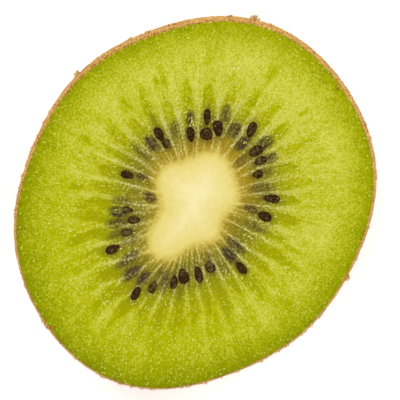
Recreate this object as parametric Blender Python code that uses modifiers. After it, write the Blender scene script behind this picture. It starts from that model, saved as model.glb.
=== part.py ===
"""A fresh kiwi slice, cut flat on both faces, lying with its shown face up.

Two solids: the flesh, with its thin skin and the seeds that show at the cut, and the pale core that
runs through it. The origin is at the middle of the lower face, +Z is up, and the slice's long way is +X.
"""

import math

import bpy
import bmesh
from mathutils import Matrix, Vector

MM = 0.001

# The slice's lower face is cut through the fruit's middle, so the side narrows upwards
FRUIT_HALF_LENGTH = 33 * MM        # from the fruit's middle to either end
THICKNESS = 8 * MM

# The outline: a mean radius, and waves as (how many round, share of the radius, clock angle of a crest)
MEAN_RADIUS = 24.3 * MM
OUTLINE_WAVES = ((2, 0.069, 0), (3, 0.008, -52), (4, 0.006, 9), (6, 0.008, 19))

# The core, whose outline is a rounded and skewed lozenge
CORE_RADIUS = 6.5 * MM
CORE_WAVES = ((2, 0.195, 11), (3, 0.08, -46), (4, 0.09, 0), (5, 0.06, 31), (6, 0.033, 8))
CORE_OFFSET = Vector((0.15 * MM, 0.25 * MM, 0))
CORE_CROWN = 0.25 * MM             # the core swells above the cut by this much
CORE_GAP = 0.3 * MM

# The cut face: a shallow dish where the seeds lie, and the chambers round the core
DISH_DEPTH = 0.25 * MM
DISH_MIDDLE = 0.2                  # share of the way from the core to the rim
DISH_SPREAD = 0.12
CHAMBERS = 36
CHAMBER_DEPTH = 0.2 * MM
CHAMBER_REACH = 0.62               # share of the way where the chambers run out
RIM_ROUND = 0.2 * MM               # the cut's edge at the skin is rounded off by this much

# Seeds that show at the cut, each a drop with its point towards the core
SEED_DEPTH = 1.0 * MM
SEED_PROUD = 0.35 * MM             # how far a seed stands above the cut
SEED_TAPER = 0.2                   # how much a seed widens outwards and narrows inwards
# Clock angle from the long way, distance from the middle, turn out of the radial way, length, width
SEEDS = (
    (1, 12.4, 16, 2.2, 1.2), (21, 10.4, 24, 2.3, 1.3), (28, 9.3, 56, 1.8, 1.6), (30, 11.6, 6, 2.2, 0.9),
    (41, 9.1, 6, 2.1, 1.0), (63, 8.6, 6, 1.3, 1.1), (65, 10.2, 4, 2.0, 1.2), (105, 9.5, 10, 1.7, 1.0),
    (134, 8.6, -14, 1.5, 0.9), (144, 8.0, -18, 1.8, 1.1), (152, 9.4, -10, 1.7, 1.0),
    (158, 12.1, -2, 2.0, 1.2), (186, 13.9, 4, 2.0, 1.1), (193, 12.1, 0, 1.9, 1.0), (205, 10.5, 6, 2.0, 1.0),
    (211, 9.5, 18, 2.1, 1.4), (223, 9.2, 8, 2.3, 1.1), (234, 8.5, 14, 1.6, 1.3), (256, 10.5, 2, 2.0, 1.1),
    (299, 9.5, -20, 1.9, 1.3), (313, 10.3, -12, 2.3, 1.1), (334, 9.3, -10, 1.4, 1.1),
    (342, 10.4, -8, 1.8, 1.15), (349, 10.7, -10, 2.0, 1.35),
)

STEPS_ROUND = CHAMBERS * 4         # so that each chamber has a floor and each wall a crest

FLESH_COLOUR = (0.42, 0.43, 0.02)
SKIN_COLOUR = (0.42, 0.24, 0.09)
SEED_COLOUR = (0.03, 0.015, 0.01)
CORE_COLOUR = (0.86, 0.76, 0.36)


def clear_scene():
    for obj in list(bpy.data.objects):
        bpy.data.objects.remove(obj, do_unlink=True)


def new_collection(name):
    collection = bpy.data.collections.new(name)
    bpy.context.scene.collection.children.link(collection)
    return collection


def make_material(name, colour, roughness):
    material = bpy.data.materials.new(name)
    material.use_nodes = True
    shader = material.node_tree.nodes["Principled BSDF"]
    shader.inputs["Base Color"].default_value = (*colour, 1)
    shader.inputs["Roughness"].default_value = roughness
    shader.inputs["Metallic"].default_value = 0
    return material


def waved(mean, waves, angle):
    """A radius that swings round its mean by each of the waves."""
    return mean * (1 + sum(share * math.cos(count * (angle - math.radians(crest)))
                           for count, share, crest in waves))


def barrel(height):
    """The fruit's width at a height in the slice, as a share of its width at the fruit's middle."""
    return math.sqrt(1 - (height / FRUIT_HALF_LENGTH) ** 2)


def smooth_step(low, high, value):
    share = min(1, max(0, (value - low) / (high - low)))
    return share * share * (3 - 2 * share)


def cut_height(way):
    """The height of the cut face at a share of the way from the core to the rim."""
    dish = math.exp(-((way - DISH_MIDDLE) / DISH_SPREAD) ** 2)
    return THICKNESS - DISH_DEPTH * dish


def chamber_dip(way, angle):
    """How far a chamber's floor lies below its walls."""
    fade = smooth_step(0, 0.08, way) * (1 - smooth_step(0.3, CHAMBER_REACH, way))
    return CHAMBER_DEPTH * fade * (0.5 - 0.5 * math.cos(CHAMBERS * angle))


def ring_edges(angle, height):
    """How far the core's hole and the rim lie from their middle in a clock direction."""
    inner = waved(CORE_RADIUS, CORE_WAVES, angle) * barrel(height) + CORE_GAP
    outer = waved(MEAN_RADIUS, OUTLINE_WAVES, angle) * barrel(height)
    return inner, outer


def place_on_slice(way, angle, height):
    """The point that lies a share of the way from the core's hole to the rim, in a clock direction."""
    inner, outer = ring_edges(angle, height)
    radius = inner + way * (outer - inner)
    direction = Vector((math.cos(angle), math.sin(angle), 0))
    return direction * radius + CORE_OFFSET * (1 - way) + Vector((0, 0, height))


def turn(name, profile, closed):
    """Turns a profile of (radius, height) round Z and returns the plain mesh."""
    mesh = bpy.data.meshes.new(name)
    count = len(profile)
    edges = [(i, (i + 1) % count) for i in range(count if closed else count - 1)]
    mesh.from_pydata([(radius, 0, height) for radius, height in profile], edges, [])
    blank = bpy.data.objects.new(name, mesh)
    bpy.context.scene.collection.objects.link(blank)
    screw = blank.modifiers.new("Turn", "SCREW")
    screw.steps = screw.render_steps = STEPS_ROUND
    screw.use_merge_vertices = True
    screw.merge_threshold = 0.01 * MM
    turned = mesh_of(blank, name)
    bpy.data.objects.remove(blank)
    return turned


def mesh_of(obj, name):
    """The object's mesh with its modifiers applied."""
    bpy.context.view_layer.update()
    graph = bpy.context.evaluated_depsgraph_get()
    mesh = bpy.data.meshes.new_from_object(obj.evaluated_get(graph))
    mesh.name = name
    return mesh


def flesh_profile():
    """A closed ring section: down the outer side, in along the lower face, up the hole, out along the cut."""
    ring_width = MEAN_RADIUS - CORE_RADIUS
    edge_way = 1 - RIM_ROUND / ring_width
    side_heights = [THICKNESS - RIM_ROUND, 0.72 * THICKNESS, 0.45 * THICKNESS, 0.2 * THICKNESS, RIM_ROUND]
    face_ways = [0, 0.04, 0.1, 0.16, 0.22, 0.28, 0.35, 0.43, 0.52, 0.62, 0.74, 0.87, edge_way]
    points = [(1, height) for height in side_heights]
    points += [(way, 0) for way in (edge_way, 0.66, 0.33, 0)]
    points += [(0, 0.5 * THICKNESS)]
    points += [(way, cut_height(way)) for way in face_ways]
    return [(CORE_RADIUS + way * ring_width, height) for way, height in points]


def make_flesh(materials):
    """The turned ring, pressed out of round, with its chambers sunk into the cut face."""
    ring_width = MEAN_RADIUS - CORE_RADIUS
    mesh = turn("flesh", flesh_profile(), closed=True)
    for vertex in mesh.vertices:
        x, y, height = vertex.co
        angle = math.atan2(y, x)
        way = (math.hypot(x, y) - CORE_RADIUS) / ring_width
        on_cut = height > THICKNESS - 2 * DISH_DEPTH
        dip = chamber_dip(way, angle) if on_cut else 0
        vertex.co = place_on_slice(way, angle, height) - Vector((0, 0, dip))
    for material in materials:
        mesh.materials.append(material)
    paint_skin(mesh, slot=1)
    return bpy.data.objects.new("flesh", mesh)


def paint_skin(mesh, slot):
    """The faces of the outer side take the skin's material."""
    for face in mesh.polygons:
        out = Vector((face.center.x, face.center.y, 0)).normalized()
        at_rim = face.center.xy.length > 0.75 * MEAN_RADIUS
        if at_rim and face.normal.dot(out) > 0.5:
            face.material_index = slot


def make_seed_mesh(material):
    """A drop two across in each way that lies along X and narrows towards -X."""
    mesh = bpy.data.meshes.new("seed")
    shape = bmesh.new()
    bmesh.ops.create_uvsphere(shape, u_segments=8, v_segments=6, radius=1)
    bmesh.ops.rotate(shape, verts=shape.verts, matrix=Matrix.Rotation(math.pi / 2, 3, "Y"))
    for vertex in shape.verts:
        fullness = 1 + SEED_TAPER * vertex.co.x
        vertex.co.y *= fullness
        vertex.co.z *= fullness
    shape.to_mesh(mesh)
    shape.free()
    mesh.materials.append(material)
    return mesh


def make_seeds(collection, material):
    """One seed at each place, its top proud of the cut."""
    mesh = make_seed_mesh(material)
    for number, (clock, distance, turned, length, width) in enumerate(SEEDS):
        angle = math.radians(clock)
        inner, outer = ring_edges(angle, THICKNESS)
        way = (distance * MM - inner) / (outer - inner)
        top = cut_height(way) - chamber_dip(way, angle) + SEED_PROUD
        direction = Vector((math.cos(angle), math.sin(angle), 0))
        seed = bpy.data.objects.new(f"seed_{number}", mesh)
        seed.location = direction * distance * MM + Vector((0, 0, top - SEED_DEPTH / 2))
        seed.scale = (length * MM / 2, width * MM / 2, SEED_DEPTH / 2)
        seed.rotation_euler.z = angle + math.radians(turned)
        collection.objects.link(seed)


def join_seeds(flesh, seeds):
    """Fuses the seeds to the flesh, then removes them as objects."""
    union = flesh.modifiers.new("Seeds", "BOOLEAN")
    union.operation = "UNION"
    union.operand_type = "COLLECTION"
    union.collection = seeds
    union.solver = "EXACT"
    union.material_mode = "TRANSFER"
    fused = mesh_of(flesh, "flesh")
    flesh.modifiers.clear()
    flesh.data = fused
    for seed in list(seeds.objects):
        bpy.data.objects.remove(seed)
    bpy.data.collections.remove(seeds)


def core_profile():
    """From the crown's middle out to the edge, down the side, and in along the lower face."""
    crown = [(share, THICKNESS + CORE_CROWN * (1 - share ** 2)) for share in (0, 0.3, 0.6, 0.85, 0.97)]
    side = [(1, THICKNESS - RIM_ROUND), (1, 0.5 * THICKNESS), (1, RIM_ROUND)]
    return [(share * CORE_RADIUS, height) for share, height in crown + side + [(0.97, 0), (0, 0)]]


def make_core(material):
    mesh = turn("core", core_profile(), closed=False)
    for vertex in mesh.vertices:
        x, y, height = vertex.co
        angle = math.atan2(y, x)
        edge = waved(CORE_RADIUS, CORE_WAVES, angle) * barrel(min(height, THICKNESS))
        radius = math.hypot(x, y) / CORE_RADIUS * edge
        direction = Vector((math.cos(angle), math.sin(angle), 0))
        vertex.co = direction * radius + CORE_OFFSET + Vector((0, 0, height))
    mesh.materials.append(material)
    return bpy.data.objects.new("core", mesh)


def main():
    clear_scene()
    slice_parts = new_collection("kiwi_slice")
    seeds = new_collection("seeds")
    flesh_finish = make_material("flesh", FLESH_COLOUR, 0.35)
    skin_finish = make_material("skin", SKIN_COLOUR, 0.85)
    seed_finish = make_material("seed", SEED_COLOUR, 0.3)
    core_finish = make_material("core", CORE_COLOUR, 0.45)

    flesh = make_flesh([flesh_finish, skin_finish, seed_finish])
    slice_parts.objects.link(flesh)
    make_seeds(seeds, seed_finish)
    join_seeds(flesh, seeds)
    slice_parts.objects.link(make_core(core_finish))
    for obj in slice_parts.objects:
        obj.data.shade_smooth()
        obj.data.set_sharp_from_angle(angle=math.radians(40))


main()
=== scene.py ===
import math
import random
import bpy
import numpy as np
from mathutils import Matrix, Vector, noise


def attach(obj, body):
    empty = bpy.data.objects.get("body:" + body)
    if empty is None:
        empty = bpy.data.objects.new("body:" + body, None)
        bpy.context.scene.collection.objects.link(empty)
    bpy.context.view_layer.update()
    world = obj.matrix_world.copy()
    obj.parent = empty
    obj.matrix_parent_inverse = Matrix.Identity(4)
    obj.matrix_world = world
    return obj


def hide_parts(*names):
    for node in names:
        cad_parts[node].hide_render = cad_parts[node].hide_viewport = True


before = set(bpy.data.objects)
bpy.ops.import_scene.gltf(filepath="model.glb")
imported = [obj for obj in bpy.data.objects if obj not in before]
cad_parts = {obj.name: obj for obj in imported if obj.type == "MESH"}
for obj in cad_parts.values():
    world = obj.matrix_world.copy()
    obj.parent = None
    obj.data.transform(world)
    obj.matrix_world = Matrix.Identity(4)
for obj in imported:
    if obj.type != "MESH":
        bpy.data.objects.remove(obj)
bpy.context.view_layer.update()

mm = 0.001

# The slice's own form, which the solids have too. A wave is how many round, share, clock angle of a crest.
fruit = {
    "halfLength": 33 * mm,
    "thickness": 8 * mm,
    "meanRadius": 24.3 * mm,
    "outline": ((2, 0.069, 0), (3, 0.008, -52), (4, 0.006, 9), (6, 0.008, 19)),
    "coreRadius": 6.5 * mm,
    "coreOutline": ((2, 0.195, 11), (3, 0.08, -46), (4, 0.09, 0), (5, 0.06, 31), (6, 0.033, 8)),
    "coreOffset": (0.15 * mm, 0.15 * mm),
    "dishDepth": 0.25 * mm,
    "dishMiddle": 0.2,
    "dishSpread": 0.12,
}

# Clock angle, millimetres from the middle, turn out of the radial way, length, width, veil of juice
shownSeeds = [
    (1, 12.4, 16, 2.2, 1.2, 0.1), (21, 10.4, 24, 2.3, 1.3, 0.0), (28, 9.3, 56, 1.8, 1.6, 0.05),
    (30, 11.6, 6, 2.2, 0.9, 0.0), (41, 9.1, 6, 2.1, 1.0, 0.05), (63, 8.6, 6, 1.3, 1.1, 0.45),
    (65, 10.2, 4, 2.0, 1.2, 0.0), (105, 9.5, 10, 1.7, 1.0, 0.0), (134, 8.6, -14, 1.5, 0.9, 0.5),
    (144, 8.0, -18, 1.8, 1.1, 0.25), (152, 9.4, -10, 1.7, 1.0, 0.35), (158, 12.1, -2, 2.0, 1.2, 0.0),
    (186, 13.9, 4, 2.0, 1.1, 0.0), (193, 12.1, 0, 1.9, 1.0, 0.3), (205, 10.5, 6, 2.0, 1.0, 0.25),
    (211, 9.5, 18, 2.1, 1.4, 0.0), (223, 9.2, 8, 2.3, 1.1, 0.0), (234, 8.5, 14, 1.6, 1.3, 0.35),
    (256, 10.5, 2, 2.0, 1.1, 0.0), (299, 9.5, -20, 1.9, 1.3, 0.0), (313, 10.3, -12, 2.3, 1.1, 0.1),
    (334, 9.3, -10, 1.4, 1.1, 0.2), (342, 10.4, -8, 1.8, 1.15, 0.3), (349, 10.7, -10, 2.0, 1.35, 0.15),
]

# Seeds that lie below the cut and only darken it: the same, with a strength in place of the veil
sunkSeeds = [
    (0, 10.3, -8, 2.2, 1.2, 0.95), (10, 11.1, -2, 2.0, 1.3, 0.95), (19, 12.4, 10, 2.4, 1.1, 0.75),
    (41, 11.3, -12, 1.6, 1.0, 0.85), (53, 10.0, -24, 2.0, 1.2, 0.6), (73, 9.6, 10, 2.0, 1.3, 0.95),
    (84, 9.7, 6, 2.8, 0.9, 0.4), (101, 7.6, 8, 1.6, 0.9, 0.7), (120, 5.7, -22, 1.5, 1.1, 0.85),
    (127, 9.3, -18, 2.4, 1.2, 0.6), (135, 9.8, -14, 2.2, 1.3, 0.95), (169, 11.2, -2, 3.0, 1.1, 0.9),
    (177, 12.1, -8, 2.4, 1.3, 0.95), (185, 11.7, -4, 2.0, 1.0, 0.9), (236, 7.4, -2, 1.6, 0.9, 0.5),
    (254.5, 8.2, 10, 2.4, 1.2, 0.95), (264, 7.7, 4, 2.4, 1.1, 0.95), (289, 9.0, -2, 2.6, 1.0, 0.55),
    (304, 7.6, -22, 1.8, 0.9, 0.85), (322, 9.2, -10, 2.8, 1.1, 0.6), (349.5, 12.3, -2, 2.2, 1.3, 0.95),
    (340, 11.7, -6, 1.8, 1.2, 0.85), (244, 9.2, 6, 1.8, 0.9, 0.4), (143, 10.2, -8, 2.6, 1.2, 0.8),
    (158, 9.6, -4, 1.8, 1.0, 0.6), (199, 10.9, 6, 2.6, 0.9, 0.8), (351, 8.4, -4, 2.0, 0.9, 0.6),
    (150, 10.6, 4, 2.4, 1.1, 0.55), (332, 10.7, 0, 1.4, 0.9, 0.5), (64, 12.2, 0, 1.6, 0.7, 0.3),
    (194, 10.2, 0, 1.8, 0.8, 0.5), (210, 11.6, 0, 1.8, 0.8, 0.35),
]

# The pale walls that part the chambers: clock angle at the core and further out, and how bright they are
walls = [
    (5, 4, 0.8), (14, 14.5, 0.85), (20, 25, 0.8), (35, 36, 0.9), (47, 48.5, 0.75), (57, 59.5, 0.75),
    (67, 69.5, 0.5), (81, 80.5, 0.65), (90, 92, 0.55), (98, 101, 0.7), (112.5, 114, 0.85), (134, 124.5, 0.7),
    (143, 133, 0.3), (153, 142.5, 0.5), (164, 152.5, 0.9), (175.5, 163, 0.9), (184.5, 173, 0.75),
    (192.5, 182, 0.85), (198, 191, 0.6), (202, 198.5, 0.6), (206.5, 206.5, 0.6), (212, 216, 0.6),
    (217, 223, 0.55), (223, 231.5, 0.65), (236, 241.5, 0.65), (247, 250, 0.75), (257, 261, 0.8),
    (266, 271, 0.75), (282.5, 282, 0.6), (296, 292.5, 0.7), (308, 304.5, 0.85), (318, 315.5, 0.75),
    (326.5, 325, 0.7), (338, 334, 0.6), (345, 343, 0.7), (354.5, 353, 0.9),
]


def report(stage):
    print("kiwi slice:", stage, flush=True)


def hexColour(code):
    # a screen colour such as 8F8F20 as the linear numbers that a shader takes
    shares = [int(code[i:i + 2], 16) / 255 for i in (0, 2, 4)]
    return tuple(((s + 0.055) / 1.055) ** 2.4 if s > 0.04 else s / 12.92 for s in shares) + (1,)


def addObject(name, data):
    thing = bpy.data.objects.new(name, data)
    bpy.context.scene.collection.objects.link(thing)
    return thing


def editAll():
    bpy.ops.object.mode_set(mode="EDIT")
    bpy.ops.mesh.select_all(action="SELECT")


def leaveEdit():
    bpy.ops.object.mode_set(mode="OBJECT")


def points(piece):
    flat = np.empty(len(piece.data.vertices) * 3, np.float32)
    piece.data.vertices.foreach_get("co", flat)
    return flat.reshape(-1, 3).astype(float)


def movePoints(piece, places):
    piece.data.vertices.foreach_set("co", places.astype(np.float32).ravel())
    piece.data.update()


def keep(piece, name, values):
    # stores a number, or three, at each point for the material to read
    kind = "FLOAT" if values.ndim == 1 else "FLOAT_VECTOR"
    attribute = piece.data.attributes.new(name, kind, "POINT")
    attribute.data.foreach_set("value" if values.ndim == 1 else "vector", values.astype(np.float32).ravel())


def smoothStep(low, high, value):
    share = np.clip((value - low) / (high - low), 0, 1)
    return share * share * (3 - 2 * share)


def roughness3d(places, size, seed):
    # soft uneven numbers from -1 to 1, one at each place, with lumps about this size
    shift = Vector((seed * 7.3, seed * 3.1, seed * 5.7))
    return np.array([noise.noise(Vector(place) / size + shift) for place in places])


def waved(mean, waves, angle):
    return mean * (1 + sum(share * np.cos(count * (angle - math.radians(crest)))
                           for count, share, crest in waves))


def barrel(height):
    return np.sqrt(1 - (height / fruit["halfLength"]) ** 2)


def coreEdge(angle, height):
    return waved(fruit["coreRadius"], fruit["coreOutline"], angle) * barrel(height)


def rimEdge(angle, height):
    return waved(fruit["meanRadius"], fruit["outline"], angle) * barrel(height)


def ringWidth(angle):
    return rimEdge(angle, 0) - coreEdge(angle, 0)


def onSlice(way, angle, height):
    # the point a share of the way from the core's edge to the rim; below 0 it lies inside the core
    radius = coreEdge(angle, height) + way * (rimEdge(angle, height) - coreEdge(angle, height))
    middleShare = np.clip(1 - way, 0, 1)
    x = radius * np.cos(angle) + fruit["coreOffset"][0] * middleShare
    y = radius * np.sin(angle) + fruit["coreOffset"][1] * middleShare
    return np.stack([x, y, height * np.ones_like(x)], axis=1)


def wayTo(distance, angle):
    # the share of the way at a distance from the middle
    return (distance - coreEdge(angle, 0)) / ringWidth(angle)


def clockPlace(clock, distance):
    return distance * mm * np.array([math.cos(math.radians(clock)), math.sin(math.radians(clock))])


def radiusAt(way, angle):
    # on the cut, and at least a millimetre, as angles mean little nearer the middle
    return np.maximum(coreEdge(angle, 0) + way * ringWidth(angle), 1 * mm)


def dishAt(way):
    # how far the shallow dish round the core lowers the cut
    return -fruit["dishDepth"] * np.exp(-((way - fruit["dishMiddle"]) / fruit["dishSpread"]) ** 2)


# Walls, chambers and fibres on the cut. Ends, forks, reaches and ways are shares of the way from core
# to rim, and two numbers are a range to draw from.
cutLook = {
    "wallHalfWidth": 0.15 * mm,
    "wallSpread": 1.1 * mm,  # how much wider a wall is where it dissolves
    "wallSlimness": (0.75, 1.25),
    "wallSwing": (-0.6, 0.6),  # degrees
    "wallWaves": 12,  # how quickly a wall swings along its way
    "wallEnds": (0.5, 0.8),
    "wallRise": 0.03 * mm,
    "forks": (0.2, 0.42),  # where a side arm leaves its wall
    "forkDrift": 5,  # degrees between a wall and its side arm
    "armStrength": 0.7,
    "chamberEnds": (0.46, 0.7),
    "chamberBend": (-2, 2),  # degrees
    "chamberSink": 0.16 * mm,
    "islands": 30,  # deep green spots past the chambers' ends
    "islandWays": (0.5, 0.72),
    "islandLengths": (0.5, 1.5),  # millimetres from its middle to its end
    "islandWidths": (0.25, 0.6),
    "fibres": 84,  # fine lines that leave the core between the walls
    "fibreReaches": (0.04, 0.2),
    "fibreWidths": (0.07, 0.12),  # millimetres
    "underSeeds": 42,  # dark spots on the lower face
    "seed": 11,
}


def angleApart(angle, clock):
    return (angle - clock + math.pi) % (2 * math.pi) - math.pi


def wallAngle(wall, way):
    near, far = wall[:2]
    return np.radians(near + (far - near) * np.clip(way / 0.4, 0, 1.1))


def wallStrength(way, angle):
    draw = random.Random(cutLook["seed"])
    strength = np.zeros_like(way)
    radius = radiusAt(way, angle)
    start = smoothStep(-0.03, 0.02, way)
    spread = cutLook["wallHalfWidth"] + cutLook["wallSpread"] * smoothStep(0.18, 0.85, way) ** 1.5
    for wall in walls:
        end = draw.uniform(*cutLook["wallEnds"])
        bright = wall[2]
        width = spread * draw.uniform(*cutLook["wallSlimness"])
        swing = math.radians(draw.uniform(*cutLook["wallSwing"]))
        phase = draw.uniform(0, 6.28)
        fork = draw.uniform(*cutLook["forks"])
        drift = math.radians(cutLook["forkDrift"]) * draw.choice((-1, 1)) * draw.uniform(0.5, 1.2)
        middle = wallAngle(wall, way) + swing * np.sin(way * cutLook["wallWaves"] + phase)
        apart = angleApart(angle, middle) * radius
        fade = bright * start * (1 - 0.8 * smoothStep(end - 0.15, end + 0.2, way))
        strength = np.maximum(strength, fade * np.exp(-(apart / width) ** 2))
        arm = middle + drift * smoothStep(fork, fork + 0.3, way)
        apart = angleApart(angle, arm) * radius
        fade = cutLook["armStrength"] * bright * smoothStep(fork, fork + 0.1, way)
        fade *= 1 - smoothStep(end - 0.15, end + 0.1, way)
        strength = np.maximum(strength, fade * np.exp(-(apart / (0.8 * width)) ** 2))
    return strength


def fibreStrength(way, angle):
    draw = random.Random(cutLook["seed"] + 3)
    strength = np.zeros_like(way)
    radius = radiusAt(way, angle)
    start = smoothStep(0, 0.03, way)
    for i in range(cutLook["fibres"]):
        middle = (i + draw.uniform(-0.45, 0.45)) * 2 * math.pi / cutLook["fibres"]
        reach = draw.uniform(*cutLook["fibreReaches"])
        bright = draw.uniform(0.2, 0.8)
        width = draw.uniform(*cutLook["fibreWidths"]) * mm
        lean = draw.uniform(-0.15, 0.15)
        apart = angleApart(angle, middle + lean * way) * radius
        fade = bright * start * (1 - smoothStep(0.3 * reach, reach, way))
        strength = np.maximum(strength, fade * np.exp(-(apart / width) ** 2))
    return strength


def chamberDepth(way, angle):
    # 1 along the middle of a chamber, 0 at its walls and past its end
    draw = random.Random(cutLook["seed"] + 1)
    depth = np.zeros_like(way)
    closing = (walls[0][0] + 360, walls[0][1] + 360)
    for first, second in zip(walls, walls[1:] + [closing]):
        start = wallAngle(first, way)
        stop = wallAngle(second, way)
        middle = (start + stop) / 2
        half = (stop - start) / 2
        end = draw.uniform(*cutLook["chamberEnds"])
        taper = np.sqrt(np.clip(1 - np.clip((way - 0.25) / (end - 0.25), 0, 1) ** 1.5, 0, 1))
        bend = math.radians(draw.uniform(*cutLook["chamberBend"])) * smoothStep(0.3, 0.7, way)
        share = np.abs(angleApart(angle, middle + bend)) / (half * np.maximum(taper, 0.05))
        shape = smoothStep(0.95, 0.4, share) * smoothStep(0, 0.5, taper)
        depth = np.maximum(depth, shape * draw.uniform(0.5, 1))
    return depth * smoothStep(-0.02, 0.06, way)


def islandDepth(way, angle):
    draw = random.Random(cutLook["seed"] + 4)
    depth = np.zeros_like(way)
    radius = radiusAt(way, angle)
    for i in range(cutLook["islands"]):
        clock = (i + draw.uniform(-0.4, 0.4)) * 2 * math.pi / cutLook["islands"]
        middle = draw.uniform(*cutLook["islandWays"])
        along = (way - middle) * ringWidth(angle) / (draw.uniform(*cutLook["islandLengths"]) * mm)
        across = angleApart(angle, clock) * radius / (draw.uniform(*cutLook["islandWidths"]) * mm)
        depth = np.maximum(depth, draw.uniform(0.4, 1) * np.exp(-(along ** 2 + across ** 2) ** 1.6))
    return depth


def underSeeds():
    # rows like those of sunkSeeds, for the lower face
    draw = random.Random(cutLook["seed"] + 2)
    return [(i * 8.6 + draw.uniform(-3, 3), draw.uniform(8.5, 12.5), draw.uniform(-15, 15),
             draw.uniform(1.6, 2.4), draw.uniform(0.8, 1.2), draw.uniform(0.3, 0.9))
            for i in range(cutLook["underSeeds"])]


def seedShade(places, seeds, growth):
    # how dark a seed under or beside each place makes it
    shade = np.zeros(len(places))
    for clock, distance, turn, length, width, strong in seeds:
        offset = places[:, :2] - clockPlace(clock, distance)
        way = math.radians(clock + turn)
        along = offset[:, 0] * math.cos(way) + offset[:, 1] * math.sin(way)
        across = offset[:, 1] * math.cos(way) - offset[:, 0] * math.sin(way)
        reach = (along / (0.5 * length * mm * growth)) ** 2 + (across / (0.5 * width * mm * growth)) ** 2
        shade = np.maximum(shade, strong * np.exp(-0.5 * reach ** 2.6))
    return shade


# How light the cut is: 0 is its deepest tissue, 0.5 its middle one and 1.25 its palest
cutTone = {
    "middle": 0.53,
    "cloud": 0.1,  # paler between the chambers' ends and the rim
    # painted light and shade: the cut is painted paler towards one clock angle and darker towards another,
    # as if lit more from that side
    "paintedLitSide": (5, 0.26),  # clock angle of the paler side, and how much paler
    "paintedShadeSide": (210, 0.12),
    "chamber": 0.52,  # how much deeper a chamber is near the core
    "chamberOuter": 0.24,  # and how much more further out
    "halo": 0.42,  # the shade round a shown seed
    "haloGrowth": 1.4,  # how large a shade is beside its seed
    "sunkGrowth": 1.12,
    "underGrowth": 1.1,
    "peelSide": (66, 0.016),  # clock angle where the skin's edge shows widest, and by how much
    "streamScale": 20,
}


def towards(angle, clock):
    # 1 at a clock angle, 0 a quarter turn from it and -1 across from it
    return np.cos(angle - math.radians(clock))


def paint(piece, way, angle, under):
    # what the flesh material turns into colour, the same for the core so that no seam shows
    look = cutTone
    places = onSlice(way, angle, fruit["thickness"])
    wall = wallStrength(way, angle)
    chamber = chamberDepth(way, angle)
    deep = np.maximum(chamber, islandDepth(way, angle))
    line = np.maximum(wall, fibreStrength(way, angle))
    halos = [seed[:5] + (look["halo"],) for seed in shownSeeds]
    sunk = seedShade(places, sunkSeeds, look["sunkGrowth"])
    shown = np.maximum(sunk, seedShade(places, halos, look["haloGrowth"]))
    shade = np.where(under, seedShade(places, underSeeds(), look["underGrowth"]), shown)
    cloud = smoothStep(0.42, 0.7, way) * (1 - smoothStep(0.8, 1, way))
    litSideClock, paler = look["paintedLitSide"]
    shadedSideClock, dimmer = look["paintedShadeSide"]
    # painted light and shade across the cut: paler towards the lit side, darker towards the shaded side
    paintedSideLight = paler * towards(angle, litSideClock) - dimmer * np.maximum(0, towards(angle, shadedSideClock)) ** 2
    base = look["middle"] + look["cloud"] * cloud + paintedSideLight * smoothStep(0.15, 0.4, way)
    deeper = look["chamber"] + look["chamberOuter"] * smoothStep(0.3, 0.45, way)
    pale = base + (1 - base) * line - deeper * deep * (1 - line)
    ochre = (0.5 + 0.5 * towards(angle, litSideClock)) ** 1.5 * smoothStep(-0.03, 0.03, way)
    ochre *= 1 - smoothStep(0.06, 0.16, way)
    peelClock, peelReach = look["peelSide"]
    keep(piece, "way", way)
    keep(piece, "pale", pale)
    keep(piece, "shade", shade * (1 - 0.3 * wall))
    keep(piece, "line", line)
    keep(piece, "ochre", ochre)
    keep(piece, "peel", way + peelReach * np.maximum(0, towards(angle, peelClock)) ** 2)
    keep(piece, "stream", look["streamScale"] * np.stack([np.cos(angle), np.sin(angle), way], axis=1))
    return wall, chamber


def cutRelief(way, wall, chamber):
    # the cut's height above its plane: a shallow dish, and chambers that sink a little
    fade = smoothStep(0, 0.08, way) * (1 - smoothStep(0.35, 0.66, way))
    sink = cutLook["chamberSink"] * fade * chamber * (1 - wall)
    return dishAt(way) - sink + cutLook["wallRise"] * wall * fade


def turnBlank(name, loop, stepsRound):
    # a loop of (distance out, height) points, turned once round the upright axis
    bpy.ops.mesh.primitive_circle_add(vertices=len(loop), radius=1)
    blank = bpy.context.object
    blank.name = name
    for vertex, (out, height) in zip(blank.data.vertices, loop):
        vertex.co = (out, 0, height)
    bpy.ops.object.modifier_add(type="SCREW")
    turn = blank.modifiers[-1]
    turn.steps = turn.render_steps = stepsRound
    turn.use_merge_vertices = True
    turn.merge_threshold = 0.00005
    bpy.ops.object.modifier_apply(modifier=turn.name)
    editAll()
    bpy.ops.mesh.delete_loose(use_verts=True, use_edges=True, use_faces=False)
    bpy.ops.mesh.select_all(action="SELECT")
    bpy.ops.mesh.normals_make_consistent(inside=False)
    leaveEdit()
    bpy.ops.object.shade_smooth()
    return blank


def blankPlaces(piece):
    # a blank's points as share of the way out, clock angle and level from 0 to 1
    x, y, level = points(piece).T
    return np.hypot(x, y), np.arctan2(y, x), level


# The flesh ring

flesh = {
    "stepsRound": 600,
    "innerRings": 58,  # across the seeds and chambers
    "outerRings": 38,
    "underRings": 40,
    "innerReach": 0.46,
    "underCore": 0.015,  # reaches this share of the way in under the core
    "tuck": 0.06 * mm,  # and dips this much there
    "rim": 0.991,  # the skin takes the rest
    "rimRound": 0.07 * mm,
    "underSkin": 0.012,  # how much further in the side lies, behind the skin
    "sideLevels": (0.97, 0.75, 0.5, 0.25, 0.03),
    "underRelief": 0.8,  # how much of the cut's hollows the lower face has
    "grain": 0.012 * mm,
}


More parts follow.
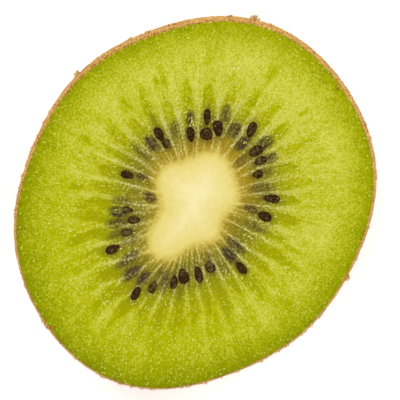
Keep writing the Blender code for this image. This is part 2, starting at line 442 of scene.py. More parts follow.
def fleshLoop():
    # a washer's section whose inner edge is 1 from the axis, so that the distance out less 1 is the way
    rim = flesh["rim"]
    start = -flesh["underCore"]
    inner = [flesh["innerReach"] * i / flesh["innerRings"] for i in range(1, flesh["innerRings"])]
    step = (rim - flesh["innerReach"]) / flesh["outerRings"]
    outer = [flesh["innerReach"] + step * i for i in range(flesh["outerRings"] - 1)]
    lip = [rim - 0.75 * step, rim - 0.5 * step, rim - 0.25 * step, rim]
    under = [rim * (1 - i / flesh["underRings"]) for i in range(flesh["underRings"] + 1)]
    loop = [(way, 1) for way in [start, 0] + inner + outer + lip]
    loop += [(rim - flesh["underSkin"], level) for level in flesh["sideLevels"]]
    loop += [(way, 0) for way in under] + [(start, 0), (start, 0.5)]
    return [(1 + way, level) for way, level in loop]


def makeFlesh():
    piece = turnBlank("fleshBody", fleshLoop(), flesh["stepsRound"])
    out, angle, level = blankPlaces(piece)
    way = out - 1
    wall, chamber = paint(piece, way, angle, level < 0.5)
    relief = cutRelief(way, wall, chamber)
    lip = flesh["rimRound"] * smoothStep(flesh["rim"] - 0.02, flesh["rim"], way) ** 2
    tuck = flesh["tuck"] * smoothStep(0, -flesh["underCore"], way)
    top = fruit["thickness"] + relief - lip - tuck
    floorGap = np.maximum(0, -flesh["underRelief"] * relief) + lip + tuck
    height = np.where(level == 1, top, np.where(level == 0, floorGap, level * fruit["thickness"]))
    places = onSlice(way, angle, height)
    lumps = roughness3d(places, 1.2 * mm, 1) + 0.6 * roughness3d(places, 0.5 * mm, 2)
    onCut = (level == 1) * smoothStep(0.02, 0.1, way)
    places[:, 2] += flesh["grain"] * lumps * onCut
    movePoints(piece, places)
    return piece


# The core, domed a little above the cut

core = {
    "stepsRound": 288,
    "rings": 34,
    "edgeRings": [0.985, 0.993, 1],
    "underRings": (1, 0.985, 0.95, 0.9, 0.8, 0.7, 0.6, 0.45, 0.3, 0.15, 0),
    "side": 1.012,  # where its side lies, inside the flesh
    "sideLevels": (0.985, 0.5, 0.015),
    "crown": 0.25 * mm,
    "overlap": 0.008,  # reaches this share of the way over the flesh
    "edgeSink": 0.035 * mm,
    "grain": 0.006 * mm,
}


def coreLoop():
    shares = [1 - (1 - i / core["rings"]) ** 1.4 for i in range(core["rings"])] + core["edgeRings"]
    loop = [(share, 1) for share in shares]
    loop += [(core["side"], level) for level in core["sideLevels"]]
    return loop + [(share, 0) for share in core["underRings"]]


def insideEdge(places):
    # how far each place lies from the core's outline
    allRound = np.radians(np.arange(0, 360, 1.0))
    outline = onSlice(0 * allRound, allRound, 0 * allRound)[:, :2]
    nearest = np.full(len(places), 1.0)
    for point in outline:
        nearest = np.minimum(nearest, np.hypot(places[:, 0] - point[0], places[:, 1] - point[1]))
    return nearest


def makeCore():
    piece = turnBlank("coreBody", coreLoop(), core["stepsRound"])
    share, angle, level = blankPlaces(piece)
    out = (share - 1) * coreEdge(angle, 0) / ringWidth(angle)
    way = out + core["overlap"] * smoothStep(0.9, 1, share)
    inside = insideEdge(onSlice(way, angle, 0 * way))
    paintWay = np.where(way < 0, -inside / ringWidth(angle), way)
    wall, chamber = paint(piece, paintWay, angle, level < 0.5)
    dome = core["crown"] * (1 - np.clip(share, 0, 1) ** 2) ** 1.5
    sink = core["edgeSink"] * smoothStep(core["edgeRings"][0], 1, share)
    top = fruit["thickness"] + dome + cutRelief(way, wall, chamber) - sink
    height = np.where(level == 1, top, np.where(level == 0, sink, level * fruit["thickness"]))
    places = onSlice(way, angle, height)
    places[:, 2] += core["grain"] * roughness3d(places, 0.6 * mm, 5) * (level == 1)
    movePoints(piece, places)
    return piece


def joinedCopies(name, pattern, matrices, tones, smooth=True):
    # one mesh of many copies of the pattern, each with its own place and tone
    base = points(pattern)
    faces = [list(face.vertices) for face in pattern.data.polygons]
    allPlaces = []
    allFaces = []
    for i, matrix in enumerate(matrices):
        allPlaces.append(base @ np.array(matrix.to_3x3()).T + np.array(matrix.translation))
        allFaces += [[corner + i * len(base) for corner in face] for face in faces]
    mesh = bpy.data.meshes.new(name)
    mesh.from_pydata(np.concatenate(allPlaces), [], allFaces)
    if smooth:
        mesh.shade_smooth()
    piece = addObject(name, mesh)
    keep(piece, "tone", np.repeat(tones, len(base)))
    bpy.data.objects.remove(pattern)
    return piece


# Seeds: drops with their points towards the core

seedForm = {
    "depth": 1.0 * mm,
    "proud": 0.35 * mm,
    "veiledSink": 0.1 * mm,  # how much deeper a seed under a full veil sits
    "taper": 0.2,
    "lean": (-4, 4),  # degrees
    "underShown": 20,
    "underGap": 0.05 * mm,  # keeps those on the lower face off the floor
    "underDistances": (9.5, 12),
    "underLengths": (1.7, 2.2),
    "underWidths": (1, 1.3),
    "underVeil": 0.1,
}


def seedPattern():
    # a drop two across in each way, which lies along X
    bpy.ops.mesh.primitive_uv_sphere_add(segments=20, ring_count=12, radius=1)
    pattern = bpy.context.object
    editAll()
    bpy.ops.transform.rotate(value=math.pi / 2, orient_axis="Y", center_override=(0, 0, 0))
    leaveEdit()
    places = points(pattern)
    fullness = 1 + seedForm["taper"] * places[:, 0]
    places[:, 1] *= fullness
    places[:, 2] *= fullness
    movePoints(pattern, places)
    return pattern


def seedMatrix(clock, distance, turn, length, width, height, lean):
    x, y = clockPlace(clock, distance)
    spin = Matrix.Rotation(math.radians(clock + turn), 4, "Z") @ Matrix.Rotation(math.radians(lean), 4, "Y")
    size = Matrix.Diagonal((length * mm / 2, width * mm / 2, seedForm["depth"] / 2, 1))
    return Matrix.Translation((x, y, height)) @ spin @ size


def makeShownSeeds():
    draw = random.Random(21)
    matrices = []
    for clock, distance, turn, length, width, veil in shownSeeds:
        cutHeight = fruit["thickness"] + dishAt(wayTo(distance * mm, math.radians(clock)))
        height = cutHeight + seedForm["proud"] - seedForm["veiledSink"] * veil - seedForm["depth"] / 2
        lean = draw.uniform(*seedForm["lean"])
        matrices.append(seedMatrix(clock, distance, turn, length, width, height, lean))
    return joinedCopies("seedsShown", seedPattern(), matrices, [seed[5] for seed in shownSeeds])


def makeUnderSeeds():
    draw = random.Random(22)
    matrices = []
    height = seedForm["underGap"] + seedForm["depth"] / 2 * (1 + seedForm["taper"] / 2)
    for i in range(seedForm["underShown"]):
        clock = i * 360 / seedForm["underShown"] + draw.uniform(-6, 6)
        distance = draw.uniform(*seedForm["underDistances"])
        turn = draw.uniform(-15, 15)
        length = draw.uniform(*seedForm["underLengths"])
        width = draw.uniform(*seedForm["underWidths"])
        matrices.append(seedMatrix(clock, distance, turn, length, width, height, 0))
    return joinedCopies("seedsUnder", seedPattern(), matrices, [seedForm["underVeil"]] * len(matrices))


# Pale juice sacs that stand just proud of the cut and glint a little; their palest tones are painted glints

sacs = {
    "count": 3600,
    "across": 0.17 * mm,
    "flatness": 0.28,
    "ways": (0.2, 0.965),
    "sizes": (0.6, 1.1),
    "longer": (1.2, 3),  # how long they are for their width
    "darkest": 0.15,  # they keep off a sunk seed's shade from this on, and clusters don't
    "clusterSizes": (0.6, 1),
    "clusterLonger": (1.8, 4),
    # clusters of long bright ones, painted glints: clock angle, millimetres from the middle, how many,
    # spread in millimetres
    "glintClusters": ((350, 13.7, 5, 0.4), (332, 12.8, 3, 0.3), (355, 17.5, 5, 0.6), (278, 9.1, 4, 0.35),
                 (40, 11.2, 6, 0.3), (51, 7.7, 4, 0.25), (169, 11.2, 7, 0.5), (175, 17.2, 6, 0.6),
                 (144, 17.2, 4, 0.5), (129, 16.8, 4, 0.4), (187, 16, 2, 0.2), (195, 15.9, 3, 0.3),
                 (22, 17.6, 6, 0.6), (244, 10.3, 5, 0.3), (104, 6.5, 3, 0.25), (157, 9.4, 4, 0.3),
                 (84, 11.6, 3, 0.3), (133, 9.8, 3, 0.3), (342, 13, 3, 0.4), (326, 14.5, 3, 0.4),
                 (0, 11, 3, 0.3), (320, 17, 4, 0.6), (8, 15.5, 4, 0.5)),
}


def sacPlaces():
    # for each sac its share of the way, angle, size, tone and how long it is for its width
    draw = random.Random(31)
    rows = []
    while len(rows) < sacs["count"]:
        way = math.sqrt(draw.uniform(sacs["ways"][0] ** 2, sacs["ways"][1] ** 2))
        angle = draw.uniform(0, 2 * math.pi)
        drift = noise.noise(Vector((6 * math.cos(angle), 6 * math.sin(angle), 5 * way)))
        if draw.random() < (0.45 + 1.3 * drift) * (0.2 + way) * min(1, (1.02 - way) / 0.2):
            tone = (0.25 + 0.55 * draw.random() ** 2) * min(1, (1.08 - way) / 0.4)
            size = draw.uniform(*sacs["sizes"])
            rows.append((way, angle, size, tone, draw.uniform(*sacs["longer"])))
    for clock, distance, count, spread in sacs["glintClusters"]:
        for _ in range(count):
            angle = math.radians(clock) + draw.gauss(0, spread) / distance
            way = wayTo((distance + draw.gauss(0, 1.5 * spread)) * mm, angle)
            size = draw.uniform(*sacs["clusterSizes"])
            # the clusters' bright tones are painted glints
            tone = draw.uniform(0.4, 0.95)
            rows.append((way, angle, size, tone, draw.uniform(*sacs["clusterLonger"])))
    return rows


def makeSacs():
    bpy.ops.mesh.primitive_ico_sphere_add(subdivisions=1, radius=0.5)
    pattern = bpy.context.object
    draw = random.Random(32)
    rows = sacPlaces()
    way, angle = np.array([row[:2] for row in rows]).T
    wall = wallStrength(way, angle)
    height = fruit["thickness"] + cutRelief(way, wall, chamberDepth(way, angle))
    spots = onSlice(way, angle, height)
    dark = seedShade(spots, sunkSeeds, cutTone["sunkGrowth"])
    matrices = []
    tones = []
    for i, (spot, (_, angle, size, tone, longer)) in enumerate(zip(spots, rows)):
        spin = Matrix.Rotation(angle + draw.gauss(0, 0.35), 4, "Z")
        across = sacs["across"] * size
        flat = Matrix.Diagonal((longer * across, across, sacs["flatness"] * across, 1))
        if i >= sacs["count"] or dark[i] < sacs["darkest"]:
            matrices.append(Matrix.Translation(spot) @ spin @ flat)
            tones.append(tone)
    return joinedCopies("juiceSacs", pattern, matrices, tones, smooth=False)


# The skin: a thin band round the side, with fuzz

skin = {
    "inset": 0.12 * mm,  # the band lies this much inside the outline, and the fuzz reaches it
    "thickness": 0.2 * mm,
    "stepsRound": 720,
    "stepsUp": 24,
    "edgeDrop": 0.05 * mm,  # how far its edges stay inside the cut faces
    "edgeWear": 0.13 * mm,  # and how much further the upper one is worn down
    "ragged": 0.12 * mm,
    "lumps": 0.08 * mm,
    "curl": 0.03 * mm,
    "hairs": 12500,
    "hairLength": 0.16 * mm,
    "hairWidth": 0.05 * mm,
    "rootDepth": 0.02 * mm,
    "hairLeans": (22, 70),  # degrees
    "hairSizes": (0.5, 1.3),
    # longer tufts: clock angle, how many hairs, how much longer they are
    "tufts": [(20.6, 70, 5.2), (60.2, 30, 3.0), (81.1, 50, 4.4), (283.4, 40, 3.8), (112, 25, 2.7)],
    "tuftLeans": (5, 60),
    "strays": 90,  # small tufts scattered round the side
    "strayHairs": (6, 14),
    "strayLonger": (1.8, 3.2),
}


def makeSkin():
    # the blank is a band from 2 in to 1.8
    up = [i / skin["stepsUp"] for i in range(skin["stepsUp"] + 1)]
    loop = [(2, level) for level in up] + [(1.95, 1), (1.87, 1)]
    loop += [(1.8, level) for level in (1, 0.8, 0.5, 0.2, 0)] + [(1.9, 0)]
    piece = turnBlank("skinBand", loop, skin["stepsRound"])
    out, angle, level = blankPlaces(piece)
    inward = (2 - out) / 0.2
    unevenness = np.array([noise.noise(Vector((45 * math.cos(a), 45 * math.sin(a), 0))) for a in angle])
    topDrop = skin["edgeDrop"] + (skin["edgeWear"] - skin["ragged"] * unevenness) * (1 - inward) ** 2
    height = fruit["thickness"] * level - topDrop * smoothStep(0.9, 1, level)
    height += skin["edgeDrop"] * (1 - smoothStep(0, 0.1, level)) * (1 - inward)
    places = onSlice(np.ones_like(angle), angle, height)
    outward = np.stack([np.cos(angle), np.sin(angle), 0 * angle], axis=1)
    lumps = roughness3d(places, 1.6 * mm, 3) + roughness3d(places, 0.55 * mm, 4)
    outside = skin["lumps"] * lumps - skin["curl"] * smoothStep(0.95, 1, level)
    shift = np.where(inward < 0.1, outside, -skin["thickness"] * inward) - skin["inset"]
    places += outward * shift[:, None]
    movePoints(piece, places)
    keep(piece, "inward", inward)
    return piece


def hairPattern():
    long = skin["hairLength"]
    bpy.ops.mesh.primitive_cone_add(vertices=3, radius1=skin["hairWidth"] / 2, radius2=0, depth=long,
                                    end_fill_type="NOTHING", location=(0, 0, long / 2))
    hair = bpy.context.object
    bpy.ops.object.transform_apply(location=True, rotation=False, scale=False)
    editAll()
    bpy.ops.mesh.subdivide(number_cuts=1)
    leaveEdit()
    places = points(hair)
    places[:, 0] += 0.4 * long * (places[:, 2] / long) ** 2
    movePoints(hair, places)
    return hair


def hairMatrix(draw, angle, height, lean, size):
    place = onSlice(np.ones(1), angle, height)[0]
    out = Vector((math.cos(angle), math.sin(angle), 0))
    tilt = Matrix.Rotation(angle, 4, "Z") @ Matrix.Rotation(math.radians(lean), 4, "Y")
    side = Matrix.Rotation(math.radians(draw.uniform(-180, 180)), 4, out)
    root = Vector(place) - out * (skin["inset"] + skin["rootDepth"])
    return Matrix.Translation(root) @ side @ tilt @ Matrix.Scale(size, 4)


def makeFuzz():
    draw = random.Random(5)
    matrices = []
    while len(matrices) < skin["hairs"]:
        angle = draw.uniform(0, 2 * math.pi)
        height = draw.uniform(0.2 * mm, 7.8 * mm)
        patch = noise.noise(Vector((14 * math.cos(angle), 14 * math.sin(angle), height / (3 * mm))))
        if draw.random() < 0.55 + 0.9 * patch:
            lean = draw.uniform(*skin["hairLeans"])
            matrices.append(hairMatrix(draw, angle, height, lean, draw.uniform(*skin["hairSizes"])))
    strays = [(draw.uniform(0, 360), draw.randint(*skin["strayHairs"]), draw.uniform(*skin["strayLonger"]))
              for _ in range(skin["strays"])]
    for clock, count, longer in skin["tufts"] + strays:
        level = draw.uniform(4, 7)
        for _ in range(count):
            angle = math.radians(clock + draw.gauss(0, 0.4))
            height = (level + draw.uniform(-0.7, 0.7)) * mm
            lean = draw.uniform(*skin["tuftLeans"])
            matrices.append(hairMatrix(draw, angle, height, lean, longer * draw.uniform(0.6, 1.2)))
    return joinedCopies("skinFuzz", hairPattern(), matrices, [draw.random() for _ in matrices])


# Rust coloured marks on the cut: nicks where skin was pulled in, and flecks

marks = {
    "height": 0.16 * mm,
    # clock angle, millimetres from the middle, length across, width, how far the ends bend outwards
    "rows": ((348, 24.1, 1.0, 0.26, 0.3), (170, 24.6, 0.65, 0.55, 0.1), (18, 21.5, 0.24, 0.24, 0),
             (343, 16.7, 0.2, 0.26, 0), (321, 21.0, 0.36, 0.14, 0.05), (287, 6.2, 0.26, 0.2, 0),
             (160, 10.4, 0.18, 0.4, 0), (333, 8.5, 0.22, 0.24, 0), (104, 6.3, 0.24, 0.4, 0),
             (102, 6.7, 0.16, 0.3, 0), (118, 5.4, 0.2, 0.4, 0), (25, 8.6, 0.3, 0.16, 0),
             (157, 10.0, 0.14, 0.3, 0), (313, 7.6, 0.16, 0.24, 0)),
}


def makeMarks():
    pieces = []
    for clock, distance, length, width, bend in marks["rows"]:
        turn = math.radians(clock)
        way = wayTo(distance * mm, turn)
        bpy.ops.mesh.primitive_uv_sphere_add(segments=12, ring_count=8, radius=0.5)
        mark = bpy.context.object
        places = points(mark) * np.array([width * mm, length * mm, marks["height"]])
        places[:, 0] += distance * mm + bend * mm * (2 * places[:, 1] / (length * mm)) ** 2
        places[:, 2] += fruit["thickness"] + cutRelief(way, 0, 0)
        x = places[:, 0] * math.cos(turn) - places[:, 1] * math.sin(turn)
        y = places[:, 0] * math.sin(turn) + places[:, 1] * math.cos(turn)
        movePoints(mark, np.stack([x, y, places[:, 2]], axis=1))
        pieces.append(mark)
    for mark in pieces:
        mark.select_set(True)
    bpy.context.view_layer.objects.active = pieces[0]
    bpy.ops.object.join()
    bpy.ops.object.shade_smooth()
    pieces[0].name = "rustMarks"
    return pieces[0]


# Materials

def newMaterial(name):
    material = bpy.data.materials.new(name)
    material.use_nodes = True
    return material, material.node_tree, material.node_tree.nodes["Principled BSDF"]


def setInputs(tree, node, inputs):
    # another node's output is linked, and any other value set
    for name, value in inputs.items():
        if isinstance(value, bpy.types.NodeSocket):
            tree.links.new(value, node.inputs[name])
        else:
            node.inputs[name].default_value = value


def addNode(tree, kind, inputs=None, **settings):
    node = tree.nodes.new(kind)
    for name, value in settings.items():
        setattr(node, name, value)
    setInputs(tree, node, inputs or {})
    return node


def stored(tree, name, kind="Fac"):
    return addNode(tree, "ShaderNodeAttribute", attribute_name=name).outputs[kind]


def objectPlace(tree):
    return addNode(tree, "ShaderNodeTexCoord").outputs["Object"]


def sums(tree, operation, first, second, clamp=False):
    node = addNode(tree, "ShaderNodeMath", {0: first, 1: second}, operation=operation, use_clamp=clamp)
    return node.outputs[0]


def added(tree, first, second):
    return sums(tree, "ADD", first, second)


def times(tree, first, second, clamp=False):
    return sums(tree, "MULTIPLY", first, second, clamp)


def stretch(tree, value, low, high, toLow=0.0, toHigh=1.0):
    inputs = {"Value": value, "From Min": low, "From Max": high, "To Min": toLow, "To Max": toHigh}
    return addNode(tree, "ShaderNodeMapRange", inputs, clamp=True).outputs[0]


def mixColour(tree, factor, first, second):
    return addNode(tree, "ShaderNodeMix", {0: factor, 6: first, 7: second}, data_type="RGBA").outputs[2]


def tint(tree, factor, colour, code):
    return mixColour(tree, factor, colour, hexColour(code))


def ramp(tree, factor, stops):
    node = addNode(tree, "ShaderNodeValToRGB", {"Fac": factor})
    bands = node.color_ramp.elements
    while len(bands) < len(stops):
        bands.new(0.5)
    for band, (place, code) in zip(bands, stops):
        band.position = place
        band.color = hexColour(code)
    return node.outputs["Color"]


def noiseNode(tree, vector, scale, detail=2.0, rough=0.5):
    inputs = {"Vector": vector, "Scale": scale, "Detail": detail, "Roughness": rough}
    return addNode(tree, "ShaderNodeTexNoise", inputs).outputs["Fac"]


def centred(tree, value, strength):
    # a noise's swing about its middle, times a strength
    return times(tree, sums(tree, "SUBTRACT", value, 0.5), strength)


def streamNoise(tree, stream, factors, detail, rough):
    # noise drawn out along the way from core to rim
    drawn = addNode(tree, "ShaderNodeVectorMath", {0: stream, 1: factors}, operation="MULTIPLY").outputs[0]
    return noiseNode(tree, drawn, 1, detail, rough)


def colourAndShine(tree, shader, colour, shine, roughness):
    setInputs(tree, shader, {"Base Color": colour, "Specular IOR Level": shine, "Roughness": roughness})


def addBump(tree, shader, height, strength, distance):
    bump = addNode(tree, "ShaderNodeBump", {"Height": height, "Strength": strength, "Distance": distance})
    setInputs(tree, shader, {"Normal": bump.outputs["Normal"]})


# The cut's colours by share of the way from core to rim, for its palest, middle and deepest tissue
fleshPaint = {
    "wayLow": -0.35,
    "palest": [(-0.3, "FAF5C2"), (-0.06, "F1E595"), (-0.015, "E3D67D"), (0.02, "DCCD74"), (0.08, "DBD083"),
               (0.2, "D2CF8E"), (0.3, "D0CE7A"), (0.45, "D3D15C"), (0.72, "D4D356"), (0.85, "C5C633"),
               (0.94, "B0B306"), (0.985, "A3A900")],
    "middle": [(-0.3, "FAECB0"), (-0.06, "E8D67A"), (-0.02, "D4BE56"), (0.0, "B8A03C"), (0.04, "A49630"),
               (0.14, "968F2C"), (0.26, "A8A51C"), (0.37, "B4B208"), (0.5, "B6B600"), (0.72, "B6B802"),
               (0.84, "AAAE00"), (0.94, "989E00"), (0.985, "8E9400")],
    "deepest": [(-0.3, "F0E2A0"), (-0.06, "DCC868"), (-0.02, "C0A640"), (0.01, "8C7E1C"), (0.1, "7C741A"),
                (0.22, "847C18"), (0.3, "949208"), (0.4, "9E9C00"), (0.6, "A2A600"), (0.72, "A4AA00"),
                (0.85, "949C00"), (0.985, "7E8600")],
    "seedShadow": "423426",
    "ochre": "AC8A10",
    # painted glint colour for the pale specks on the cut
    "glintSpeck": "E6E66C",
    "rust": "9C5A12",
    "peel": ("96501A", "D09C4E"),
    "rays": 1.5,  # how strongly each texture changes the tone
    "fibres": 1.2,
    "cloud": 0.9,
    "mottle": 0.7,
    "ragged": 0.07,  # how far the core's edge is pushed about
    "wallPush": 0.035,  # how far the walls draw the core's colour out
    "rayScale": (1.3, 1.3, 0.12),
    "fibreScale": (3.2, 3.2, 0.3),
    "toothScale": (0.6, 0.6, 0.05),
    "cloudScale": 420,
    "mottleScale": 1300,
    "crumbScale": 2600,
    "grainScale": 3600,
    "rustScale": 6200,
    "speckScale": 2.7,
    "shine": 0.04,
    "bump": 0.05 * mm,
}


def tissueRamps(tree, way, look):
    # each tissue's stops, moved to run from 0 to 1
    low = look["wayLow"]
    share = stretch(tree, way, low, 1)
    return [ramp(tree, share, [((place - low) / (1 - low), code) for place, code in look[tissue]])
            for tissue in ("deepest", "middle", "palest")]


def fleshMaterial(name):
    look = fleshPaint
    material, tree, shader = newMaterial(name)
    stream = stored(tree, "stream", "Vector")
    place = objectPlace(tree)
    rays = streamNoise(tree, stream, look["rayScale"], 3, 0.6)
    fibres = streamNoise(tree, stream, look["fibreScale"], 2, 0.6)
    teeth = streamNoise(tree, stream, look["toothScale"], 2, 0.5)
    clouds = noiseNode(tree, place, look["cloudScale"])
    mottle = noiseNode(tree, place, look["mottleScale"])
    crumbs = noiseNode(tree, place, look["crumbScale"], 2, 0.6)
    grain = noiseNode(tree, place, look["grainScale"], 2, 0.6)
    way = stored(tree, "way")
    # the core's edge is ragged, and its colour runs out along the walls
    nearEdge = times(tree, stretch(tree, way, -0.1, 0), stretch(tree, way, 0.16, 0.04))
    pull = times(tree, stored(tree, "line"), look["wallPush"])
    push = times(tree, sums(tree, "SUBTRACT", centred(tree, teeth, look["ragged"]), pull), nearEdge)
    deepest, middle, palest = tissueRamps(tree, added(tree, way, push), look)
    # streaks near the core, clouds and grain further out
    streaks = added(tree, centred(tree, rays, look["rays"]), centred(tree, fibres, look["fibres"]))
    streaks = times(tree, streaks, stretch(tree, way, -0.02, 0.05))
    tone = stored(tree, "pale")
    tone = added(tree, tone, times(tree, streaks, stretch(tree, way, 0.3, 0.7, 1, 0.4)))
    tone = added(tree, tone, centred(tree, clouds, stretch(tree, way, 0.35, 0.6, 0, look["cloud"])))
    tone = added(tree, tone, centred(tree, mottle, look["mottle"]))
    coarse = added(tree, stretch(tree, way, -0.05, 0.12, 1, 3.2), stretch(tree, way, 0.3, 0.45, 0, -1))
    coarse = added(tree, coarse, stretch(tree, way, 0.6, 0.85, 0, 0.9))
    tone = added(tree, tone, centred(tree, grain, coarse))
    colour = mixColour(tree, stretch(tree, tone, 0, 0.5), deepest, middle)
    colour = mixColour(tree, stretch(tree, tone, 0.5, 1.25), colour, palest)
    ochre = times(tree, stored(tree, "ochre"), stretch(tree, tone, 1, 0.3, 0.1, 0.55))
    colour = tint(tree, ochre, colour, look["ochre"])
    shade = stored(tree, "shade")
    broken = times(tree, shade, stretch(tree, grain, 0.4, 0.65, 1.15, 0.68))
    broken = times(tree, broken, stretch(tree, rays, 0.45, 0.66, 1.05, 0.6), clamp=True)
    colour = tint(tree, broken, colour, look["seedShadow"])
    # painted glints: pale specks standing in for highlights on the wet cut, where no seed shades the flesh
    cells = addNode(tree, "ShaderNodeTexVoronoi", {"Vector": stream, "Scale": look["speckScale"]})
    lit = addNode(tree, "ShaderNodeSeparateColor", {"Color": cells.outputs["Color"]}).outputs[0]
    glintSpecks = stretch(tree, cells.outputs["Distance"], 0.38, 0.12)
    glintSpecks = times(tree, glintSpecks, stretch(tree, lit, 0.4, 1, 0, 0.9))
    glintSpecks = times(tree, glintSpecks, stretch(tree, way, 0.15, 0.5))
    glintSpecks = times(tree, glintSpecks, stretch(tree, shade, 0.1, 0.4, 1, 0))
    colour = tint(tree, glintSpecks, colour, look["glintSpeck"])
    rust = times(tree, stretch(tree, way, 0, 0.05), stretch(tree, way, 0.32, 0.22, 0, 0.8))
    rust = times(tree, rust, stretch(tree, noiseNode(tree, place, look["rustScale"], 1), 0.64, 0.7))
    colour = tint(tree, rust, colour, look["rust"])
    # the brown edge that the skin leaves on the cut
    peel = added(tree, stored(tree, "peel"), centred(tree, crumbs, 0.04))
    darkPeel, palePeel = [hexColour(code) for code in look["peel"]]
    peelColour = mixColour(tree, stretch(tree, grain, 0.38, 0.52), darkPeel, palePeel)
    colour = mixColour(tree, stretch(tree, peel, 0.991, 0.997), colour, peelColour)
    colourAndShine(tree, shader, colour, look["shine"], stretch(tree, mottle, 0.3, 0.7, 0.3, 0.45))
    height = added(tree, times(tree, mottle, 0.5), times(tree, grain, 0.3))
    addBump(tree, shader, height, 0.7, look["bump"])
    return material


seedPaint = {
    "coat": [(0.35, "2C1804"), (0.6, "42280E")],
    "pitGlints": "9C8050",
    "film": "7A6E38",
    "pitScale": 5200,
    "mottleScale": 2200,
}


def seedMaterial():
    material, tree, shader = newMaterial("seedCoat")
    place = objectPlace(tree)
    pits = addNode(tree, "ShaderNodeTexVoronoi", {"Vector": place, "Scale": seedPaint["pitScale"]})
    mottle = noiseNode(tree, place, seedPaint["mottleScale"])
    colour = ramp(tree, mottle, seedPaint["coat"])
    lit = addNode(tree, "ShaderNodeSeparateColor", {"Color": pits.outputs["Color"]}).outputs[0]
    # painted glints: pale dots in the coat's pits stand in for highlights on the wet seed
    pitGlints = times(tree, stretch(tree, lit, 0.7, 0.95), stretch(tree, pits.outputs["Distance"], 0.5, 0.2))
    colour = tint(tree, pitGlints, colour, seedPaint["pitGlints"])
    veil = stored(tree, "tone")
    film = times(tree, veil, stretch(tree, mottle, 0.46, 0.58, 0.05, 1.3))
    colour = tint(tree, film, colour, seedPaint["film"])
    colourAndShine(tree, shader, colour, 0.06, 0.45)
    addBump(tree, shader, pits.outputs["Distance"], 0.5, 0.03 * mm)
    return material


# sac colours, the palest of them painted glints
sacAndGlintColours = [(0, "A0A408"), (0.25, "C2C22C"), (0.5, "D0D04C"), (0.75, "DEDC74"), (1, "F0EEAC")]


def sacMaterial():
    material, tree, shader = newMaterial("juiceSacGlint")
    uneven = centred(tree, noiseNode(tree, objectPlace(tree), 5000, 1), 0.5)
    tone = sums(tree, "ADD", stored(tree, "tone"), uneven, clamp=True)
    colourAndShine(tree, shader, ramp(tree, tone, sacAndGlintColours), 0.05, 0.4)
    return material


skinPaint = {
    "band": [(0.38, "82460C"), (0.45, "BE8028"), (0.53, "E2AC4C"), (0.61, "F8D488")],
    "hair": [(0.41, "9A5810"), (0.48, "E8AE54"), (0.56, "FFE49C")],
    "edge": "9C5A1A",  # rusty, along the band's upper edge
    "inside": "9C8C14",
    "patchScale": 500,
    "fineScale": 4200,
}


def skinMaterial(name, kind):
    material, tree, shader = newMaterial(name)
    place = objectPlace(tree)
    patches = noiseNode(tree, place, skinPaint["patchScale"], 4, 0.65)
    fine = noiseNode(tree, place, skinPaint["fineScale"], 2, 0.6)
    both = added(tree, times(tree, patches, 0.2), times(tree, fine, 0.8))
    colour = ramp(tree, both, skinPaint[kind])
    if kind == "band":
        inward = stored(tree, "inward")
        rusty = times(tree, stretch(tree, inward, 0.05, 0.3), stretch(tree, fine, 0.62, 0.45))
        colour = tint(tree, rusty, colour, skinPaint["edge"])
        colour = tint(tree, stretch(tree, inward, 0.35, 0.9), colour, skinPaint["inside"])
    colourAndShine(tree, shader, colour, 0.2, 0.8)
    addBump(tree, shader, fine, 0.8, 0.08 * mm)
    return material


def markMaterial():
    material, tree, shader = newMaterial("rustMark")
    mottle = noiseNode(tree, objectPlace(tree), 3000)
    colourAndShine(tree, shader, ramp(tree, mottle, [(0.35, "9C5C08"), (0.6, "C0902C")]), 0.05, 0.6)
    return material


def floorMaterial():
    material, tree, shader = newMaterial("paleFloor")
    colourAndShine(tree, shader, (0.95, 0.95, 0.95, 1), 0.1, 0.9)
    setInputs(tree, shader, {"Emission Color": (1, 1, 1, 1), "Emission Strength": 0.4})
    return material


def finishPiece(piece, material, slot, *nodes):
    piece.data.materials.clear()
    piece.data.materials.append(material)
    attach(piece, "root")
    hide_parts(*nodes)


# The photograph's view: nearly straight down, leaning a little towards the picture's top
view = {
    "lens": 236,
    "sensor": 36,
    "perPixel": 0.1338 * mm,
    "imageSide": 400,
    "sliceAt": (193.97, 201.53),  # the pixel where the slice's middle lies
    "longWayTurn": 51.1,  # the long way, anticlockwise from the picture's right
    "leanUp": 2.6,
    "leanLeft": -0.5,
}


def makeCamera():
    turn = math.radians(view["longWayTurn"])
    right = Vector((math.cos(turn), -math.sin(turn), 0))
    up = Vector((math.sin(turn), math.cos(turn), 0))
    data = bpy.data.cameras.new("camera")
    data.lens = view["lens"]
    data.sensor_width = view["sensor"]
    data.clip_start = 0.01
    data.clip_end = 10
    camera = addObject("camera", data)
    half = view["imageSide"] / 2
    aim = right * (half - view["sliceAt"][0]) * view["perPixel"]
    aim += up * (view["sliceAt"][1] - half) * view["perPixel"]
    distance = view["imageSide"] * view["perPixel"] * view["lens"] / view["sensor"]
    back = Vector((0, 0, 1)) + up * math.tan(math.radians(view["leanUp"]))
    back = (back - right * math.tan(math.radians(view["leanLeft"]))).normalized()
    side = up.cross(back).normalized()
    top = back.cross(side)
    turned = Matrix((side, top, back)).transposed().to_4x4()
    camera.matrix_world = Matrix.Translation(aim + back * distance) @ turned
    bpy.context.scene.camera = camera
    return right, up


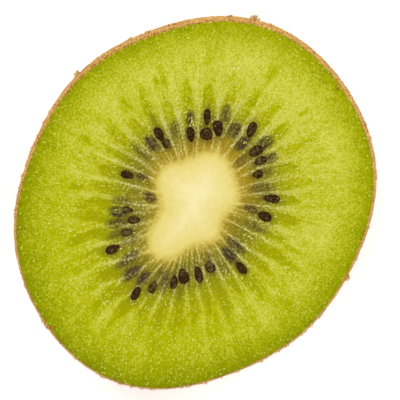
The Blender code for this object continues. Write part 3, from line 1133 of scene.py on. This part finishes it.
lamps = {
    "distance": 0.5,
    "size": 0.28,
    "power": 1.0,
    # share of the power, clock angle from the picture's right, degrees above the floor
    "places": ((1.15, 125, 48), (1.0, 35, 45), (0.65, 215, 45), (0.75, 305, 45)),
    "sky": 0.08,
}


def makeLamps(right, up):
    for i, (share, clock, rise) in enumerate(lamps["places"]):
        data = bpy.data.lights.new(f"softLamp{i}", "AREA")
        data.energy = lamps["power"] * share
        data.shape = "SQUARE"
        data.size = lamps["size"]
        lamp = addObject(data.name, data)
        turn = math.radians(clock)
        lift = math.radians(rise)
        back = (right * math.cos(turn) + up * math.sin(turn)) * math.cos(lift)
        back += Vector((0, 0, math.sin(lift)))
        lamp.location = back * lamps["distance"]
        lamp.rotation_mode = "QUATERNION"
        lamp.rotation_quaternion = back.to_track_quat("Z", "Y")
    world = bpy.data.worlds.new("paleRoom")
    bpy.context.scene.world = world
    world.use_nodes = True
    sky = world.node_tree.nodes["Background"]
    setInputs(world.node_tree, sky, {"Color": (1, 1, 1, 1), "Strength": lamps["sky"]})


def makeFloor():
    bpy.ops.mesh.primitive_plane_add(size=3, location=(0, 0, -0.02 * mm))
    floor = bpy.context.object
    floor.name = "floor"
    floor.data.materials.append(floorMaterial())


report("camera, lamps and floor")
right, up = makeCamera()
makeLamps(right, up)
makeFloor()

report("flesh ring")
finishPiece(makeFlesh(), fleshMaterial("wetFlesh"), "flesh", "flesh")

report("core")
finishPiece(makeCore(), fleshMaterial("paleCore"), "core", "core")

report("seeds")
coat = seedMaterial()
finishPiece(makeShownSeeds(), coat, "seed", "flesh")
finishPiece(makeUnderSeeds(), coat, "seed", "flesh")

report("juice sacs")
finishPiece(makeSacs(), sacMaterial(), "flesh", "flesh")

report("skin and fuzz")
finishPiece(makeSkin(), skinMaterial("brownSkin", "band"), "skin", "flesh")
finishPiece(makeFuzz(), skinMaterial("fuzzHair", "hair"), "skin", "flesh")

report("rust marks")
finishPiece(makeMarks(), markMaterial(), "skin", "flesh")

bpy.context.scene.view_settings.view_transform = "Standard"

report("sizes")
